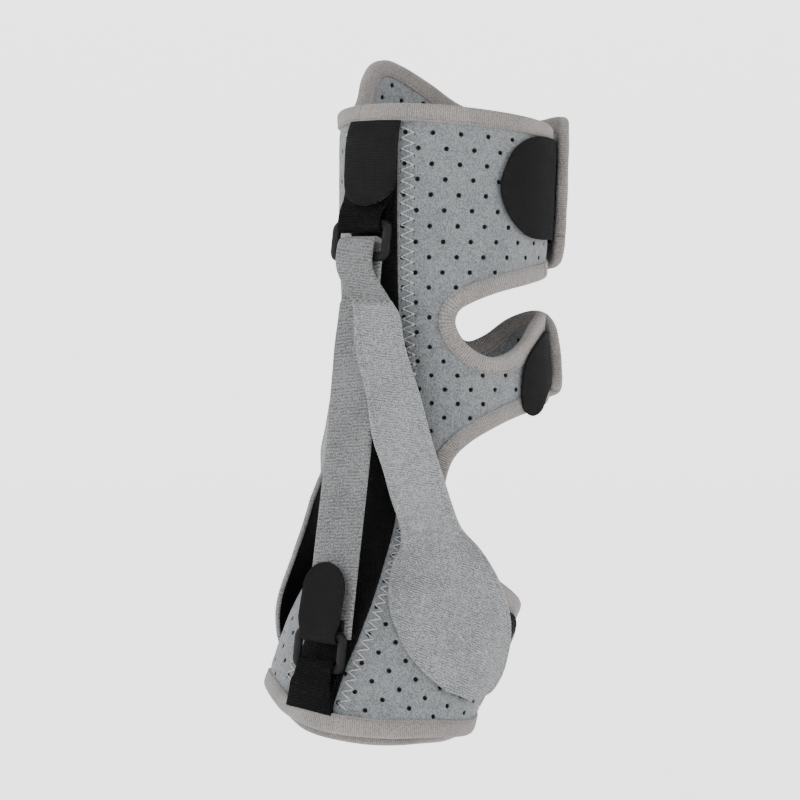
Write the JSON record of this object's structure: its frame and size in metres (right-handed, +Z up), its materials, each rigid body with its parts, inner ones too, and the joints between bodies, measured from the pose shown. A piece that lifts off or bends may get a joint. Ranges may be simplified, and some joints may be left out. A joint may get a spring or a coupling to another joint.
{
  "type": "foot drop brace",
  "caption": "Worn soft ankle brace for foot drop: a perforated grey felt shell wraps the lower leg, ankle and midfoot, and a felt pull strap runs between two rings on its front.",
  "frame": {"origin": "On the leg's axis at mid height of the cuff.", "axes": "+Z up the leg, toes towards -Y, +X towards the side whose flaps lie underneath."},
  "size_m": [0.1231, 0.1569, 0.3378],
  "materials": {
    "shell_felt": "grey perforated felt over thin foam",
    "strap_felt": "lighter grey felt with a faint grain",
    "binding_tape": "warm grey ribbed edge tape",
    "webbing": "black woven webbing",
    "hook_cloth": "matte black hook fastener cloth",
    "ring_plastic": "black moulded plastic, slightly glossy"
  },
  "bodies": {
    "root": {"shell": "shell_felt", "top_binding": "binding_tape", "near_window_binding": "binding_tape", "near_heel_binding": "binding_tape", "toe_binding": "binding_tape", "far_heel_binding": "binding_tape", "far_window_binding": "binding_tape", "cuff_flap_binding": "binding_tape", "raised_corner_binding": "binding_tape", "centre_strip": "webbing", "upper_webbing": "webbing", "upper_ring": "ring_plastic", "upper_hook_tab": "hook_cloth", "lower_webbing": "webbing", "lower_ring": "ring_plastic", "pull_strap": "strap_felt", "lower_hook_tab": "hook_cloth", "paddle_strap_near": "strap_felt", "paddle_strap_far": "strap_felt", "cuff_hook_tab": "hook_cloth", "ankle_hook_tab": "hook_cloth", "foot_hook_tab": "hook_cloth"}
  },
  "joints": []
}
